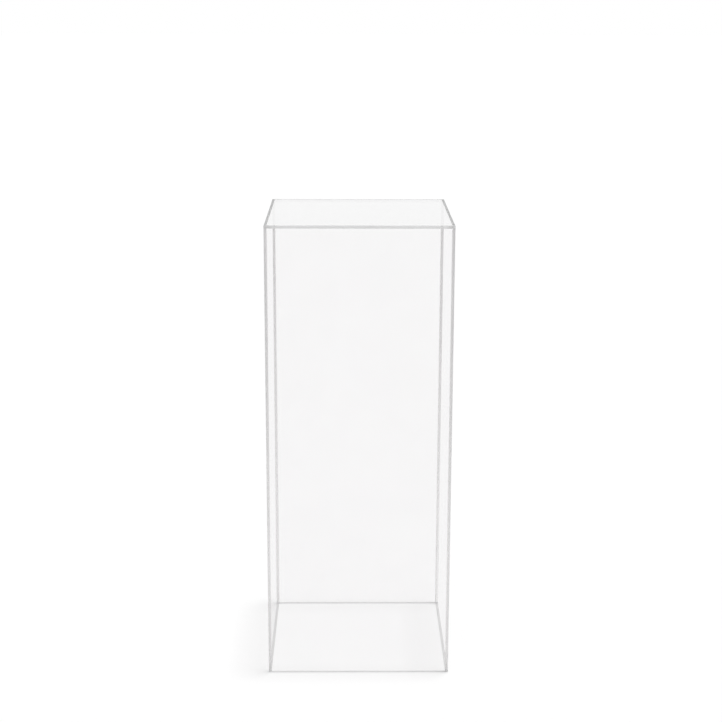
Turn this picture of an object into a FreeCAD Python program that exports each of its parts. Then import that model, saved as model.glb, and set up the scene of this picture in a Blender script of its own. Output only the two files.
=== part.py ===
import FreeCAD, Part
import os

# Acrylic display pedestal: a tall box of clear sheet, cemented at every joint and open underneath.
# Millimetres. The origin is on the floor in the middle of the footprint, +Z is up, the front faces -Y.

# Driving dimensions
outer_width = 304.8       # across the front
outer_depth = 304.8       # front to back
wall_height = 762.0       # upright panels, from the floor to the joint under the top
sheet_thickness = 4.5     # all five panels are cut from one sheet
cement_film = 0.25        # cement left between two bonded faces
cement_bead = 0.6         # how far the squeezed-out cement stands into an inside corner
eased_edge = 0.4          # bevel on every exposed sawn arris

# Places worked out from the driving dimensions
half_width = outer_width / 2
half_depth = outer_depth / 2
inner_half_width = half_width - sheet_thickness
inner_half_depth = half_depth - sheet_thickness
top_underside = wall_height + cement_film
bead_leg = cement_film + cement_bead

origin = FreeCAD.Vector(0, 0, 0)
up_axis = FreeCAD.Vector(0, 0, 1)
left_to_right = FreeCAD.Vector(1, 0, 0)


def prism(corners, travel):
    """Closed outline of straight edges, pushed along one direction."""
    outline = Part.makePolygon(corners + corners[:1])
    return Part.Face(outline).extrude(travel)


def turned_round(shape):
    """The same piece on the opposite side of the box."""
    copy = shape.copy()
    copy.rotate(origin, up_axis, 180)
    return copy


def mirrored_across(shape):
    """The same piece swapped from the left side of the box to the right."""
    return shape.mirror(origin, left_to_right)


def ease(solid, is_exposed):
    """Bevel the exposed sawn arrises that the test picks out."""
    exposed = [edge for edge in solid.Edges if is_exposed(edge.BoundBox)]
    return solid.makeChamfer(eased_edge, exposed).Solids[0]


def at_floor(box):
    return box.ZMax < eased_edge


def at_floor_lengthways(box):
    return at_floor(box) and box.YLength > sheet_thickness


def make_front_panel():
    """Full-width wall. Its two outer upright arrises and its bottom edges are bare."""
    corners = [
        FreeCAD.Vector(-half_width + eased_edge, -half_depth, 0),
        FreeCAD.Vector(half_width - eased_edge, -half_depth, 0),
        FreeCAD.Vector(half_width, -half_depth + eased_edge, 0),
        FreeCAD.Vector(half_width, -inner_half_depth, 0),
        FreeCAD.Vector(-half_width, -inner_half_depth, 0),
        FreeCAD.Vector(-half_width, -half_depth + eased_edge, 0),
    ]
    return ease(prism(corners, up_axis * wall_height), at_floor)


def make_left_panel():
    """Wall that fits between front and back, a cement film away from each."""
    panel_depth = 2 * (inner_half_depth - cement_film)
    corner = FreeCAD.Vector(-half_width, -panel_depth / 2, 0)
    panel = Part.makeBox(sheet_thickness, panel_depth, wall_height, corner)
    return ease(panel, at_floor_lengthways)


def make_top_panel():
    """Square panel over the ends of all four walls. All but its underside arrises are bare."""
    corner = FreeCAD.Vector(-half_width, -half_depth, top_underside)
    panel = Part.makeBox(outer_width, outer_depth, sheet_thickness, corner)
    return ease(panel, lambda box: box.ZMax > top_underside + eased_edge)


def make_front_top_cement():
    """Film over the front wall's end, with its bead along the inside corner."""
    corners = [
        FreeCAD.Vector(-half_width, -half_depth, top_underside),
        FreeCAD.Vector(-half_width, -half_depth, wall_height),
        FreeCAD.Vector(-half_width, -inner_half_depth, wall_height),
        FreeCAD.Vector(-half_width, -inner_half_depth, top_underside),
    ]
    film = prism(corners, left_to_right * outer_width)
    bead_corners = [
        FreeCAD.Vector(-inner_half_width, -inner_half_depth, top_underside),
        FreeCAD.Vector(-inner_half_width, -inner_half_depth, top_underside - bead_leg),
        FreeCAD.Vector(-inner_half_width, -inner_half_depth + bead_leg, top_underside),
    ]
    bead = prism(bead_corners, left_to_right * 2 * inner_half_width)
    return film.fuse(bead).removeSplitter().Solids[0]


def make_left_top_cement(front_top_cement):
    """Film over the left wall's end, between the front and back seams, with its bead."""
    corners = [
        FreeCAD.Vector(-half_width, -inner_half_depth, top_underside),
        FreeCAD.Vector(-half_width, -inner_half_depth, wall_height),
        FreeCAD.Vector(-inner_half_width, -inner_half_depth, wall_height),
        FreeCAD.Vector(-inner_half_width, -inner_half_depth, top_underside - bead_leg),
        FreeCAD.Vector(-inner_half_width + bead_leg, -inner_half_depth, top_underside),
    ]
    seam = prism(corners, FreeCAD.Vector(0, 2 * inner_half_depth, 0))
    seam = seam.cut(front_top_cement).cut(turned_round(front_top_cement))
    return seam.Solids[0]


def make_front_left_cement(front_top_cement, left_top_cement):
    """Upright film between the front wall and the left wall's end, with its bead."""
    corners = [
        FreeCAD.Vector(-half_width, -inner_half_depth, eased_edge),
        FreeCAD.Vector(-inner_half_width + bead_leg, -inner_half_depth, eased_edge),
        FreeCAD.Vector(-inner_half_width, -inner_half_depth + bead_leg, eased_edge),
        FreeCAD.Vector(-inner_half_width, -inner_half_depth + cement_film, eased_edge),
        FreeCAD.Vector(-half_width, -inner_half_depth + cement_film, eased_edge),
    ]
    seam = prism(corners, up_axis * (wall_height - eased_edge))
    return seam.cut(front_top_cement).cut(left_top_cement).Solids[0]


front_panel = make_front_panel()
left_panel = make_left_panel()
cement_top_front = make_front_top_cement()
cement_top_left = make_left_top_cement(cement_top_front)
cement_front_left = make_front_left_cement(cement_top_front, cement_top_left)
cement_front_right = mirrored_across(cement_front_left)

pieces = {
    "top_panel": make_top_panel(),
    "front_panel": front_panel,
    "back_panel": turned_round(front_panel),
    "left_panel": left_panel,
    "right_panel": turned_round(left_panel),
    "cement_top_front": cement_top_front,
    "cement_top_back": turned_round(cement_top_front),
    "cement_top_left": cement_top_left,
    "cement_top_right": turned_round(cement_top_left),
    "cement_front_left": cement_front_left,
    "cement_front_right": cement_front_right,
    "cement_back_left": turned_round(cement_front_right),
    "cement_back_right": turned_round(cement_front_left),
}

os.makedirs("parts", exist_ok=True)
for name, shape in pieces.items():
    shape.exportStep(f"parts/{name}.step")
    print(name, shape.ShapeType, "valid" if shape.isValid() else "NOT VALID", round(shape.Volume, 1))
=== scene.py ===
import math

import bpy
from mathutils import Matrix, Vector


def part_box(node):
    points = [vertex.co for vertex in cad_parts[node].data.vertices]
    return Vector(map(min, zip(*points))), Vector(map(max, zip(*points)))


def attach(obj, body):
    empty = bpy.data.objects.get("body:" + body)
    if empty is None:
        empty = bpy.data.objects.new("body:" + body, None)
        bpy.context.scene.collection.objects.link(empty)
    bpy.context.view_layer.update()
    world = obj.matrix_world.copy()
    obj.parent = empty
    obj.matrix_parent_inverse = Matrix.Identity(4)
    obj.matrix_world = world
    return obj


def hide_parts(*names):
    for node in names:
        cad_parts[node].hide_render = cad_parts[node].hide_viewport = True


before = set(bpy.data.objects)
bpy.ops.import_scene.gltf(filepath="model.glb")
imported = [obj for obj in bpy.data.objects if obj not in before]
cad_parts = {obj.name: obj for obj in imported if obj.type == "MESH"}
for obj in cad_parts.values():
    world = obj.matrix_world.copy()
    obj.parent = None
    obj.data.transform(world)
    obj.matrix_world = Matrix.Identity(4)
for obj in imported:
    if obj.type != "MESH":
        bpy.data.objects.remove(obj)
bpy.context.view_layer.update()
print("frame loaded:", len(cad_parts), "nodes")

mm = 0.001
xAxis, yAxis, zAxis = 0, 1, 2
xWay, yWay, zWay = Vector((1, 0, 0)), Vector((0, 1, 0)), Vector((0, 0, 1))


# Small helpers used all through the script

def hexToLinear(hexText):
    channels = [int(hexText[i:i + 2], 16) / 255 for i in (1, 3, 5)]
    return [c / 12.92 if c <= 0.04045 else ((c + 0.055) / 1.055) ** 2.4 for c in channels] + [1.0]


def addNode(tree, kind, settings, links=()):
    node = tree.nodes.new(kind)
    for key, value in settings.items():
        if isinstance(key, str) and hasattr(node, key):
            setattr(node, key, value)
        else:
            node.inputs[key].default_value = value
    for key, source in links:
        tree.links.new(source, node.inputs[key])
    return node


def deselectAll():
    if bpy.context.mode != "OBJECT":
        bpy.ops.object.mode_set(mode="OBJECT")
    bpy.ops.object.select_all(action="DESELECT")


def boxPiece(name, low, high):
    deselectAll()
    bpy.ops.mesh.primitive_cube_add(size=1, location=(low + high) / 2, scale=high - low)
    bpy.ops.object.transform_apply(location=True, rotation=True, scale=True)
    piece = bpy.context.object
    piece.name = name
    piece.data.name = name
    return piece


# Middle of a face or an edge
def middle(mesh, item):
    corners = [mesh.vertices[i].co for i in item.vertices]
    return sum(corners, Vector()) / len(corners)


# Leaves the piece in edit mode with only the wanted faces or edges selected
def selectWhere(piece, kind, wanted):
    bpy.ops.object.mode_set(mode="EDIT")
    bpy.ops.mesh.select_mode(type=kind)
    bpy.ops.mesh.select_all(action="DESELECT")
    bpy.ops.object.mode_set(mode="OBJECT")
    for item in piece.data.polygons if kind == "FACE" else piece.data.edges:
        item.select = wanted(item)
    bpy.ops.object.mode_set(mode="EDIT")


# A copy with its own mesh on the other side of the box, turned half round or mirrored left to right
def copyPiece(piece, name, mirror=False):
    deselectAll()
    piece.select_set(True)
    bpy.context.view_layer.objects.active = piece
    bpy.ops.object.duplicate(linked=False)
    copy = bpy.context.object
    copy.name = name
    copy.data.name = name
    if mirror:
        copy.scale.x = -1
    else:
        copy.rotation_euler.z = math.pi
    bpy.ops.object.transform_apply(location=True, rotation=True, scale=True)
    if mirror:
        bpy.ops.object.mode_set(mode="EDIT")
        bpy.ops.mesh.select_all(action="SELECT")
        bpy.ops.mesh.normals_make_consistent(inside=False)
        bpy.ops.object.mode_set(mode="OBJECT")
    return copy


# Camera, at the photograph's viewing angle

view = {
    "imagePixels": 722,
    "focalPixels": 1553.4,
    "sensorWidth": 36.0,                  # mm
    "place": (-19.5, -2595.3, 1148.9),    # mm
    "pitchDown": 13.865,                  # degrees
    "turnRight": 0.526,
    "roll": 0.163,
}


def placeCamera():
    bpy.ops.object.camera_add(location=Vector(view["place"]) * mm)
    camera = bpy.context.object
    camera.name = "studioCamera"
    turn = Matrix.Rotation(-math.radians(view["turnRight"]), 3, "Z")
    tilt = Matrix.Rotation(math.radians(90 - view["pitchDown"]), 3, "X")
    roll = Matrix.Rotation(math.radians(view["roll"]), 3, "Z")
    camera.rotation_euler = (turn @ tilt @ roll).to_euler()
    lens = camera.data
    lens.sensor_fit = "HORIZONTAL"
    lens.sensor_width = view["sensorWidth"]
    lens.lens = view["focalPixels"] * view["sensorWidth"] / view["imagePixels"]
    bpy.context.scene.camera = camera
    print("camera placed")


# Studio: white surround, white paper floor, one soft lamp overhead

studio = {
    "surroundColour": "#FFFFFF",
    "surroundLight": 0.565,      # light that the surround gives; it looks plain white itself
    "clearLayers": 64,           # how many clear faces one line of sight may cross
    "floorColour": "#F2F2F2",
    "floorRoughness": 0.95,
    "floorLift": 0.072,          # what the floor needs to look as white as the surround
    "floorSize": 60.0,           # metres across
    "floorDrop": 0.5 * mm,       # keeps the floor off the panels' bottom edges
    "lampStrength": 1.55,
    "lampSpread": 5.5,           # degrees across, for soft shadows
    "lampTilt": 2.8,             # degrees from straight down
    "lampTurn": 14.0,            # degrees round from the right towards the back
}


# 1 where the surface is looked at, straight or in a reflection, and 0 where it only gives light
def lookedAt(tree):
    path = addNode(tree, "ShaderNodeLightPath", {})
    seen = addNode(tree, "ShaderNodeMath", {"operation": "MAXIMUM"},
                   [(0, path.outputs["Is Camera Ray"]), (1, path.outputs["Is Glossy Ray"])])
    seen = addNode(tree, "ShaderNodeMath", {"operation": "MAXIMUM"},
                   [(0, seen.outputs[0]), (1, path.outputs["Is Transmission Ray"])])
    return seen.outputs[0]


def makeSurround():
    scene = bpy.context.scene
    scene.view_settings.view_transform = "Standard"
    scene.cycles.transparent_max_bounces = studio["clearLayers"]
    world = bpy.data.worlds.new("whiteSurround")
    scene.world = world
    world.use_nodes = True
    tree = world.node_tree
    surround = tree.nodes["Background"]
    surround.inputs["Color"].default_value = hexToLinear(studio["surroundColour"])
    strength = addNode(tree, "ShaderNodeMapRange", {"To Min": studio["surroundLight"], "To Max": 1.0},
                       [("Value", lookedAt(tree))])
    tree.links.new(strength.outputs["Result"], surround.inputs["Strength"])


# Matt white paper
def layFloor():
    deselectAll()
    bpy.ops.mesh.primitive_plane_add(size=studio["floorSize"], location=(0, 0, -studio["floorDrop"]))
    bpy.ops.object.transform_apply(location=True, rotation=True, scale=True)
    floor = bpy.context.object
    floor.name = "studioFloor"
    paper = bpy.data.materials.new("mattWhitePaperFloor")
    paper.use_nodes = True
    tree = paper.node_tree
    shader = tree.nodes["Principled BSDF"]
    shader.inputs["Base Color"].default_value = hexToLinear(studio["floorColour"])
    shader.inputs["Roughness"].default_value = studio["floorRoughness"]
    shader.inputs["Specular IOR Level"].default_value = 0.0
    shader.inputs["Emission Color"].default_value = hexToLinear(studio["surroundColour"])
    lift = addNode(tree, "ShaderNodeMath", {"operation": "MULTIPLY", 1: studio["floorLift"]},
                   [(0, lookedAt(tree))])
    tree.links.new(lift.outputs[0], shader.inputs["Emission Strength"])
    floor.data.materials.append(paper)


def hangLamp():
    bpy.ops.object.light_add(type="SUN")
    lamp = bpy.context.object
    lamp.name = "overheadLamp"
    lamp.data.energy = studio["lampStrength"]
    lamp.data.angle = math.radians(studio["lampSpread"])
    lean = Matrix.Rotation(math.radians(studio["lampTilt"]), 3, "Y")
    swing = Matrix.Rotation(math.radians(studio["lampTurn"]), 3, "Z")
    lamp.rotation_euler = (swing @ lean).to_euler()


def lightStudio():
    makeSurround()
    layFloor()
    hangLamp()
    print("studio lit")


# Materials, all of clear acrylic, with their patterns on object coordinates

acrylicIor = 1.49
noiseRange = {"From Min": 0.3, "From Max": 0.7}    # where most values of a noise texture lie
colourA, colourB, mixedColour = 6, 7, 2            # colour sockets of a Mix node


def newMaterial(name, colour):
    material = bpy.data.materials.new(name)
    material.use_nodes = True
    tree = material.node_tree
    shader = tree.nodes["Principled BSDF"]
    shader.inputs["Base Color"].default_value = hexToLinear(colour)
    shader.inputs["IOR"].default_value = acrylicIor
    place = addNode(tree, "ShaderNodeTexCoord", {}).outputs["Object"]
    return material, tree, shader, place


castFace = {
    "colour": "#CEC6CA",             # the faint grey that a clear face adds: its haze, with a painted reflection of the white surround in it
    "haze": (0.0351, 0.0429),        # share of the light that one face stops, between and on the marks
    "roughness": (0.03, 0.08),
    "mirrorLevel": 0.0,              # a face mirrors nothing itself: the white surround is painted into its colour as a painted reflection
    "wipeMarks": 70 * mm,            # width of the faint marks of a cleaning cloth
    "wipeDetail": 3.0,
    "wipeSwirl": 0.6,
    "waviness": 0.01 * mm,           # how far a cast face is from flat
    "mirrorColour": "#F0F0F0",
    "mirrorShare": 0.88,             # share of the light that the display face mirrors at low angles
    "mirrorAngles": (0.74, 0.84),    # from where to where that grows, 0 square on and 1 edge on
}


# Cast acrylic sheet as it leaves the glass mould: clear and glossy, with faint marks of a cleaning cloth
def castAcrylicFace(name, mirrorsSurround=False):
    material, tree, shader, place = newMaterial(name, castFace["colour"])
    shader.inputs["Specular IOR Level"].default_value = castFace["mirrorLevel"]
    marks = addNode(tree, "ShaderNodeTexNoise",
                    {"Scale": 1 / castFace["wipeMarks"], "Detail": castFace["wipeDetail"],
                     "Distortion": castFace["wipeSwirl"]},
                    [("Vector", place)]).outputs["Fac"]
    haze = addNode(tree, "ShaderNodeMapRange",
                   {**noiseRange, "To Min": castFace["haze"][0], "To Max": castFace["haze"][1]},
                   [("Value", marks)]).outputs["Result"]
    if mirrorsSurround:
        haze = mirrorAtLowAngles(tree, shader, haze)
    tree.links.new(haze, shader.inputs["Alpha"])
    gloss = addNode(tree, "ShaderNodeMapRange",
                    {**noiseRange, "To Min": castFace["roughness"][0], "To Max": castFace["roughness"][1]},
                    [("Value", marks)])
    tree.links.new(gloss.outputs["Result"], shader.inputs["Roughness"])
    relief = addNode(tree, "ShaderNodeBump", {"Distance": castFace["waviness"]}, [("Height", marks)])
    tree.links.new(relief.outputs["Normal"], shader.inputs["Normal"])
    return material


# Turns a clear face into a mirror of the surround where it is seen at a low angle, and gives its new haze
def mirrorAtLowAngles(tree, shader, haze):
    angle = addNode(tree, "ShaderNodeLayerWeight", {})
    mirror = addNode(tree, "ShaderNodeMapRange",
                     {"interpolation_type": "SMOOTHSTEP", "From Min": castFace["mirrorAngles"][0],
                      "From Max": castFace["mirrorAngles"][1]},
                     [("Value", angle.outputs["Facing"])]).outputs["Result"]
    tint = addNode(tree, "ShaderNodeMix",
                   {"data_type": "RGBA", colourA: hexToLinear(castFace["colour"]),
                    colourB: hexToLinear(castFace["mirrorColour"])},
                   [("Factor", mirror)])
    tree.links.new(tint.outputs[mixedColour], shader.inputs["Base Color"])
    tree.links.new(mirror, shader.inputs["Metallic"])
    return addNode(tree, "ShaderNodeMapRange", {"To Max": castFace["mirrorShare"]},
                   [("Value", mirror), ("To Min", haze)]).outputs["Result"]


sawnEdge = {
    "topColour": "#E8E8E8",
    # colour of the painted shade at the ends of the top's edge
    "cornerShadeColour": "#D0D0D0",
    "cornerShadeReach": (15 * mm, 9 * mm),     # distances from a corner where the painted shade on the top's edge starts and is darkest
    "wallColour": "#E0E0E0",
    "bottomColour": "#E3E3E3",
    "bondedColour": "#F6F6F6",
    "bareHaze": 0.80,                # share of the light that a bare edge stops
    "bondedEndHaze": 0.34,           # the same for the cemented ends of the sides
    "bondedTopHaze": 0.15,           # and for the cemented tops of all walls
    "hazeShares": (0.9, 1.1),        # between and on the lines
    "roughness": (0.266, 0.494),
    "scraperLines": 0.9 * mm,        # drawn coarser than a scraper's 0.2 mm, so that they show
    "lineLength": 90 * mm,
    "lineDetail": 2.0,
    "lineDepth": 0.1 * mm,
    "lineStrength": 0.3,
}


# Sawn and scraped acrylic edge: a grey satin band with fine lines that run along it
def sawnAcrylicEdge(name, thicknessAxis, colour, haze):
    material, tree, shader, place = newMaterial(name, colour)
    stretch = [1 / sawnEdge["lineLength"]] * 3
    stretch[thicknessAxis] = 1 / sawnEdge["scraperLines"]
    along = addNode(tree, "ShaderNodeMapping", {"Scale": stretch}, [("Vector", place)])
    lines = addNode(tree, "ShaderNodeTexNoise", {"Scale": 1.0, "Detail": sawnEdge["lineDetail"]},
                    [("Vector", along.outputs["Vector"])]).outputs["Fac"]
    between, on = sawnEdge["hazeShares"]
    cloud = addNode(tree, "ShaderNodeMapRange",
                    {**noiseRange, "To Min": haze * between, "To Max": haze * on}, [("Value", lines)])
    tree.links.new(cloud.outputs["Result"], shader.inputs["Alpha"])
    satin = addNode(tree, "ShaderNodeMapRange",
                    {**noiseRange, "To Min": sawnEdge["roughness"][0], "To Max": sawnEdge["roughness"][1]},
                    [("Value", lines)])
    tree.links.new(satin.outputs["Result"], shader.inputs["Roughness"])
    relief = addNode(tree, "ShaderNodeBump",
                     {"Strength": sawnEdge["lineStrength"], "Distance": sawnEdge["lineDepth"]},
                     [("Height", lines)])
    tree.links.new(relief.outputs["Normal"], shader.inputs["Normal"])
    return material


# Paints shade on the edge of the top near its corners, where on the real sheet the side joints show through
def paintCornerShade(edge):
    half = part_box("top_panel")[1].x
    start, full = sawnEdge["cornerShadeReach"]
    tree = edge.node_tree
    place = addNode(tree, "ShaderNodeTexCoord", {}).outputs["Object"]
    parts = addNode(tree, "ShaderNodeSeparateXYZ", {}, [("Vector", place)])
    fromMiddle = [addNode(tree, "ShaderNodeMath", {"operation": "ABSOLUTE"}, [(0, parts.outputs[axis])])
                  for axis in (xAxis, yAxis)]
    alongEdge = addNode(tree, "ShaderNodeMath", {"operation": "MINIMUM"},
                        [(0, fromMiddle[0].outputs[0]), (1, fromMiddle[1].outputs[0])])
    shadeNearCorner = addNode(tree, "ShaderNodeMapRange",
                    {"interpolation_type": "SMOOTHSTEP", "From Min": half - start, "From Max": half - full},
                    [("Value", alongEdge.outputs[0])])
    tint = addNode(tree, "ShaderNodeMix",
                   {"data_type": "RGBA", colourA: hexToLinear(sawnEdge["topColour"]),
                    colourB: hexToLinear(sawnEdge["cornerShadeColour"])},
                   [("Factor", shadeNearCorner.outputs["Result"])])
    tree.links.new(tint.outputs[mixedColour], tree.nodes["Principled BSDF"].inputs["Base Color"])


cement = {
    "colour": "#F6F6F6",
    "topHaze": 0.15,                 # share of the light that one face of the film under the top stops
    "frontHaze": 0.70,               # the same in a front upright, where the film is thickest
    "backHaze": 0.58,
    "beadHaze": 0.10,                # the squeezed-out bead is clearer than the film
    "thickFrom": 700 * mm,           # uprights are fed from above, so the film thins out below this height
    "thinFrom": 200 * mm,            # and is thinnest from here down to the floor
    "filmShares": (0.40, 1.0),       # how thick the film is at the floor and at the top
    "backLeftBeadHaze": 0.36,        # cement pooled in this bead towards the floor
    "backLeftBeadShares": (1.0, 0.15),
    "backRightBeadHaze": 0.40,       # this one is hazy all the way
    "backRightBeadShares": (1.1, 1.0),
    "mirrorLevel": 0.5,
    "borderColour": "#B4B4B4",       # the joint seen from above, through the display face
    "sideBorderHaze": 0.85,
    "frontBorderHaze": 0.40,
    "roughness": (0.154, 0.286),
    "streakLength": 110 * mm,
    "streakWidth": 6.4 * mm,
    "streakDetail": 2.0,
    "streakShares": (0.88, 1.12),    # how much thinner and thicker the film is in a streak
    "bubbleSpacing": 6.4 * mm,
    "bubbleShares": (0.10, 0.16),    # core and rim of a bubble, drawn coarser than 0.3 mm so that it shows
    "bubbleHaze": 0.05,
    "reliefDepth": 0.1 * mm,
    "reliefStrength": 0.2,
}


# Cured acrylic cement: a thin hazy layer with streaks where it ran and pinhead bubbles
def curedAcrylicCement(name, runAxis, haze, colour=cement["colour"], mirrorLevel=cement["mirrorLevel"],
                       heightShares=cement["filmShares"]):
    material, tree, shader, place = newMaterial(name, colour)
    shader.inputs["Specular IOR Level"].default_value = mirrorLevel
    stretch = [1 / cement["streakWidth"]] * 3
    stretch[runAxis] = 1 / cement["streakLength"]
    along = addNode(tree, "ShaderNodeMapping", {"Scale": stretch}, [("Vector", place)])
    streaks = addNode(tree, "ShaderNodeTexNoise", {"Scale": 1.0, "Detail": cement["streakDetail"]},
                      [("Vector", along.outputs["Vector"])]).outputs["Fac"]
    gloss = addNode(tree, "ShaderNodeMapRange",
                    {**noiseRange, "To Min": cement["roughness"][0], "To Max": cement["roughness"][1]},
                    [("Value", streaks)])
    tree.links.new(gloss.outputs["Result"], shader.inputs["Roughness"])
    thinner, thicker = cement["streakShares"]
    cloud = addNode(tree, "ShaderNodeMapRange",
                    {**noiseRange, "To Min": haze * thinner, "To Max": haze * thicker},
                    [("Value", streaks)])
    cells = addNode(tree, "ShaderNodeTexVoronoi", {"Scale": 1 / cement["bubbleSpacing"]},
                    [("Vector", place)])
    core, rim = cement["bubbleShares"]
    bubbles = addNode(tree, "ShaderNodeMapRange",
                      {"From Min": core, "From Max": rim, "To Min": cement["bubbleHaze"], "To Max": 0.0},
                      [("Value", cells.outputs["Distance"])])
    total = addNode(tree, "ShaderNodeMath", {"operation": "ADD"},
                    [(0, cloud.outputs["Result"]), (1, bubbles.outputs["Result"])])
    if runAxis == zAxis:
        height = addNode(tree, "ShaderNodeSeparateXYZ", {}, [("Vector", place)]).outputs["Z"]
        thinning = addNode(tree, "ShaderNodeMapRange",
                           {"From Min": cement["thinFrom"], "From Max": cement["thickFrom"],
                            "To Min": heightShares[0], "To Max": heightShares[1]},
                           [("Value", height)])
        total = addNode(tree, "ShaderNodeMath", {"operation": "MULTIPLY"},
                        [(0, total.outputs[0]), (1, thinning.outputs["Result"])])
    tree.links.new(total.outputs[0], shader.inputs["Alpha"])
    relief = addNode(tree, "ShaderNodeBump",
                     {"Strength": cement["reliefStrength"], "Distance": cement["reliefDepth"]},
                     [("Height", total.outputs[0])])
    tree.links.new(relief.outputs["Normal"], shader.inputs["Normal"])
    return material


# Panels

sheet = {
    "arrisRound": 0.4 * mm,      # bare arrises are scraped round
    "arrisSteps": 3,
    "sameFace": 0.01 * mm,       # how close counts as lying on a face
    "squareOn": 0.999,           # least part of a normal along an axis that counts as square to it
    "turned": 0.1,               # least part that counts as turned towards it
}


def onFace(value, limit):
    return abs(value - limit) < sheet["sameFace"]


# A panel of sheet cut to its node's box, with its bare arrises rounded
def cutSheet(node, name, isBare):
    low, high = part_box(node)
    piece = boxPiece(name, low, high)
    selectWhere(piece, "EDGE", lambda edge: isBare(middle(piece.data, edge), low, high))
    bpy.ops.mesh.bevel(offset=sheet["arrisRound"], segments=sheet["arrisSteps"], profile=0.5,
                       affect="EDGES")
    bpy.ops.object.mode_set(mode="OBJECT")
    return piece


# Gives each face the first finish whose test it meets
def finishFaces(piece, finishes):
    materials, tests = zip(*finishes)
    for material in materials:
        piece.data.materials.append(material)
    for face in piece.data.polygons:
        place = middle(piece.data, face)
        face.material_index = [test(face.normal, place) for test in tests].index(True)


def anyFace(normal, place):
    return True


def bareOnFront(point, low, high):
    upright = onFace(point.y, low.y) and (onFace(point.x, low.x) or onFace(point.x, high.x))
    return upright or onFace(point.z, low.z)


def bareOnSide(point, low, high):
    return onFace(point.z, low.z) and (onFace(point.x, low.x) or onFace(point.x, high.x))


def bareOnTop(point, low, high):
    return not onFace(point.z, low.z)


def makeTop(facing):
    displayFace = castAcrylicFace("castAcrylicDisplayFace", mirrorsSurround=True)
    edge = sawnAcrylicEdge("sawnAcrylicEdgeOfTop", zAxis, sawnEdge["topColour"], sawnEdge["bareHaze"])
    paintCornerShade(edge)
    sideBorder = curedAcrylicCement("cementedBorderOverSides", yAxis, cement["sideBorderHaze"],
                                    cement["borderColour"], castFace["mirrorLevel"])
    frontBorder = curedAcrylicCement("cementedBorderOverFrontAndBack", xAxis, cement["frontBorderHaze"],
                                     cement["borderColour"], castFace["mirrorLevel"])
    top = cutSheet("top_panel", "topSheet", bareOnTop)
    # A border over the ends of the walls, where the joint shows from above
    square = sheet["squareOn"]
    wallInside = abs(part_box("left_panel")[1].x)
    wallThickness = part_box("top_panel")[1].x - wallInside
    selectWhere(top, "FACE", lambda face: face.normal.z > square)
    bpy.ops.mesh.inset(thickness=wallThickness - sheet["arrisRound"])
    bpy.ops.object.mode_set(mode="OBJECT")
    finishFaces(top, [
        (facing, lambda normal, place: normal.z < -square),
        (sideBorder, lambda normal, place: normal.z > square and abs(place.x) > wallInside),
        (frontBorder, lambda normal, place: normal.z > square and abs(place.y) > wallInside),
        (displayFace, lambda normal, place: normal.z > square),
        (edge, anyFace),
    ])
    return top


def makeFront(facing):
    edge = sawnAcrylicEdge("sawnAcrylicEdgeOfFrontAndBack", yAxis, sawnEdge["wallColour"],
                           sawnEdge["bareHaze"])
    bottom = sawnAcrylicEdge("sawnAcrylicBottomOfFrontAndBack", yAxis, sawnEdge["bottomColour"],
                             sawnEdge["bareHaze"])
    bonded = sawnAcrylicEdge("bondedAcrylicEdgeOfFrontAndBack", yAxis, sawnEdge["bondedColour"],
                             sawnEdge["bondedTopHaze"])
    front = cutSheet("front_panel", "frontSheet", bareOnFront)
    # The rounded upright arrises are polished with the faces
    finishFaces(front, [
        (bonded, lambda normal, place: normal.z > sheet["squareOn"]),
        (bottom, lambda normal, place: normal.z < -sheet["turned"]),
        (facing, lambda normal, place: abs(normal.y) > sheet["turned"]),
        (edge, anyFace),
    ])
    return front


def makeLeft(facing):
    bottom = sawnAcrylicEdge("sawnAcrylicBottomOfSides", xAxis, sawnEdge["bottomColour"],
                             sawnEdge["bareHaze"])
    topBond = sawnAcrylicEdge("bondedAcrylicTopOfSides", xAxis, sawnEdge["bondedColour"],
                              sawnEdge["bondedTopHaze"])
    endBond = sawnAcrylicEdge("bondedAcrylicEndsOfSides", xAxis, sawnEdge["bondedColour"],
                              sawnEdge["bondedEndHaze"])
    left = cutSheet("left_panel", "leftSheet", bareOnSide)
    finishFaces(left, [
        (facing, lambda normal, place: abs(normal.x) > sheet["squareOn"]),
        (topBond, lambda normal, place: normal.z > sheet["squareOn"]),
        (endBond, lambda normal, place: abs(normal.y) > sheet["squareOn"]),
        (bottom, anyFace),
    ])
    return left


def makePanels():
    facing = castAcrylicFace("castAcrylicPolishedFace")
    front = makeFront(facing)
    left = makeLeft(facing)
    panels = {
        "top_panel": makeTop(facing),
        "front_panel": front,
        "back_panel": copyPiece(front, "backSheet"),
        "left_panel": left,
        "right_panel": copyPiece(left, "rightSheet"),
    }
    for node, piece in panels.items():
        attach(piece, "root")
        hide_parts(node)
    print("panels made:", len(panels))


# Cement seams

seam = {
    "clearance": 0.02 * mm,      # keeps the film's faces apart from the faces that it bonds
    "filletSteps": 6,
    "filletShare": 0.96,         # how much of the bead's height the hollow takes
    "filletHollow": 0.12,        # profile of the bead: below a quarter is hollow
    "starvedFrom": 400 * mm,     # height from where the film at the back right narrows towards the floor
    "starvedBy": 3.2 * mm,       # how much narrower it is at the floor
}


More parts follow.
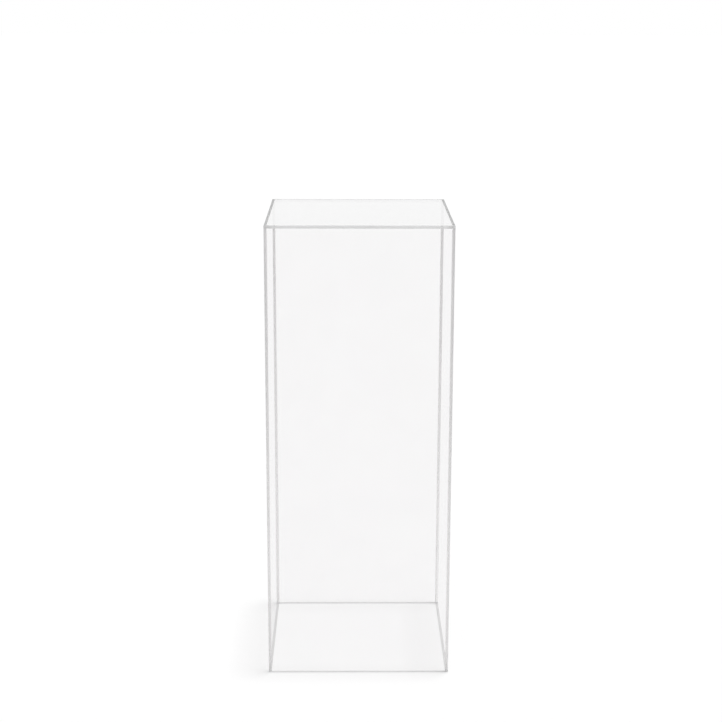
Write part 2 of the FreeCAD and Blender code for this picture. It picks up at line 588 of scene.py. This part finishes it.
# A film from low to high with a hollow bead along its inner edge, between two stops. inward points into
# the box along the film, and away points along the inner face of the panel whose end is bonded
def runCement(name, low, high, inward, away, leg, stops, hazy, clearer):
    film = boxPiece(name, low, high)
    inwardAxis = max(range(3), key=lambda axis: abs(inward[axis]))
    awayAxis = max(range(3), key=lambda axis: abs(away[axis]))
    runAxis = 3 - inwardAxis - awayAxis
    filmEnd = max(low.dot(inward), high.dot(inward))
    thickness = high[awayAxis] - low[awayAxis]

    # Cuts across the film where the bead starts and ends
    across = Vector()
    across[runAxis] = 1
    for stop in stops:
        bpy.ops.object.mode_set(mode="EDIT")
        bpy.ops.mesh.select_all(action="SELECT")
        bpy.ops.mesh.bisect(plane_co=across * stop, plane_no=across)
        bpy.ops.object.mode_set(mode="OBJECT")

    def beaded(face, way):
        place = middle(film.data, face)[runAxis]
        return face.normal.dot(way) > sheet["squareOn"] and min(stops) < place < max(stops)

    def pastFilm(face):
        return middle(film.data, face).dot(inward) > filmEnd

    # Draws the bead out of the film, first into the box and then along the panel
    selectWhere(film, "FACE", lambda face: beaded(face, inward))
    bpy.ops.mesh.extrude_region_move(TRANSFORM_OT_translate={"value": inward * (leg - seam["clearance"])})
    bpy.ops.object.mode_set(mode="OBJECT")
    selectWhere(film, "FACE", lambda face: beaded(face, away) and pastFilm(face))
    bpy.ops.mesh.extrude_region_move(TRANSFORM_OT_translate={"value": away * (leg - thickness)})
    bpy.ops.object.mode_set(mode="OBJECT")

    # Hollows the bead's outer corner
    inMost = max(v.co.dot(inward) for v in film.data.vertices)
    awayMost = max(v.co.dot(away) for v in film.data.vertices)

    def outerCorner(edge):
        point = middle(film.data, edge)
        start, end = [film.data.vertices[i].co for i in edge.vertices]
        lengthways = abs((start - end)[runAxis]) > leg
        return lengthways and onFace(point.dot(inward), inMost) and onFace(point.dot(away), awayMost)

    selectWhere(film, "EDGE", outerCorner)
    bpy.ops.mesh.bevel(offset=(leg - thickness) * seam["filletShare"], segments=seam["filletSteps"],
                       profile=seam["filletHollow"], affect="EDGES")
    bpy.ops.object.mode_set(mode="OBJECT")
    finishFaces(film, [
        (clearer, lambda normal, place: place.dot(inward) > filmEnd + seam["clearance"]),
        (hazy, anyFace),
    ])
    return film


# Narrows an upright film towards its foot, where the joint got too little cement
def starveFoot(film):
    deselectAll()
    film.select_set(True)
    bpy.context.view_layer.objects.active = film
    bpy.ops.object.mode_set(mode="EDIT")
    bpy.ops.mesh.select_all(action="SELECT")
    bpy.ops.mesh.bisect(plane_co=zWay * seam["starvedFrom"], plane_no=zWay)
    bpy.ops.object.mode_set(mode="OBJECT")
    outer = max(v.co.x for v in film.data.vertices)
    # Takes in the cut where the bead starts, one clearance above the film's lower end
    foot = min(v.co.z for v in film.data.vertices) + 2 * seam["clearance"]

    def outerFoot(edge):
        point = middle(film.data, edge)
        return onFace(point.x, outer) and point.z < foot

    selectWhere(film, "EDGE", outerFoot)
    bpy.ops.transform.translate(value=-xWay * seam["starvedBy"])
    bpy.ops.object.mode_set(mode="OBJECT")


def makeSeams():
    clear = seam["clearance"]
    gap = Vector((clear, clear, clear))
    frontLow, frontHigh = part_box("front_panel")
    leftLow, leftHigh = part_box("left_panel")
    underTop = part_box("top_panel")[0].z
    uprightLow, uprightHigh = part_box("cement_front_left")
    leg = uprightHigh.x - leftHigh.x
    crosswise = curedAcrylicCement("curedAcrylicCementUnderTopFrontAndBack", xAxis, cement["topHaze"])
    lengthwise = curedAcrylicCement("curedAcrylicCementUnderTopSides", yAxis, cement["topHaze"])
    inFront = curedAcrylicCement("curedAcrylicCementInFrontUprights", zAxis, cement["frontHaze"])
    inBack = curedAcrylicCement("curedAcrylicCementInBackUprights", zAxis, cement["backHaze"])
    bead = curedAcrylicCement("curedAcrylicCementBead", zAxis, cement["beadHaze"])
    backLeftBead = curedAcrylicCement("curedAcrylicCementBackLeftBead", zAxis, cement["backLeftBeadHaze"],
                                      heightShares=cement["backLeftBeadShares"])
    backRightBead = curedAcrylicCement("curedAcrylicCementBackRightBead", zAxis,
                                       cement["backRightBeadHaze"],
                                       heightShares=cement["backRightBeadShares"])

    topFront = runCement(
        "cementTopFront",
        low=Vector((frontLow.x, frontLow.y, frontHigh.z)) + gap,
        high=Vector((frontHigh.x, frontHigh.y, underTop)) - gap,
        inward=yWay, away=-zWay, leg=leg, stops=(leftHigh.x, -leftHigh.x), hazy=crosswise, clearer=bead)
    topLeft = runCement(
        "cementTopLeft",
        low=Vector((leftLow.x, frontHigh.y, leftHigh.z)) + gap,
        high=Vector((leftHigh.x, -frontHigh.y, underTop)) - gap,
        inward=xWay, away=-zWay, leg=leg, stops=(frontHigh.y + leg, -frontHigh.y - leg),
        hazy=lengthwise, clearer=bead)
    frontLeft = runCement(
        "cementFrontLeft",
        low=Vector((leftLow.x, frontHigh.y, uprightLow.z)) + gap,
        high=Vector((leftHigh.x, leftLow.y, leftHigh.z)) - gap,
        inward=xWay, away=yWay, leg=leg, stops=(uprightLow.z + 2 * clear, underTop - leg),
        hazy=inFront, clearer=bead)
    frontRight = copyPiece(frontLeft, "cementFrontRight", mirror=True)
    seams = {
        "cement_top_front": topFront,
        "cement_top_back": copyPiece(topFront, "cementTopBack"),
        "cement_top_left": topLeft,
        "cement_top_right": copyPiece(topLeft, "cementTopRight"),
        "cement_front_left": frontLeft,
        "cement_front_right": frontRight,
        "cement_back_left": copyPiece(frontRight, "cementBackLeft"),
        "cement_back_right": copyPiece(frontLeft, "cementBackRight"),
    }
    # The joints at the back have a thinner film and uneven beads
    for node, unevenBead in (("cement_back_left", backLeftBead), ("cement_back_right", backRightBead)):
        slots = seams[node].data.materials
        slots[slots.find(bead.name)] = unevenBead
        slots[slots.find(inFront.name)] = inBack
    starveFoot(seams["cement_back_right"])
    for node, piece in seams.items():
        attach(piece, "root")
        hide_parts(node)
    print("cement seams run:", len(seams))


placeCamera()
lightStudio()
makePanels()
makeSeams()
deselectAll()
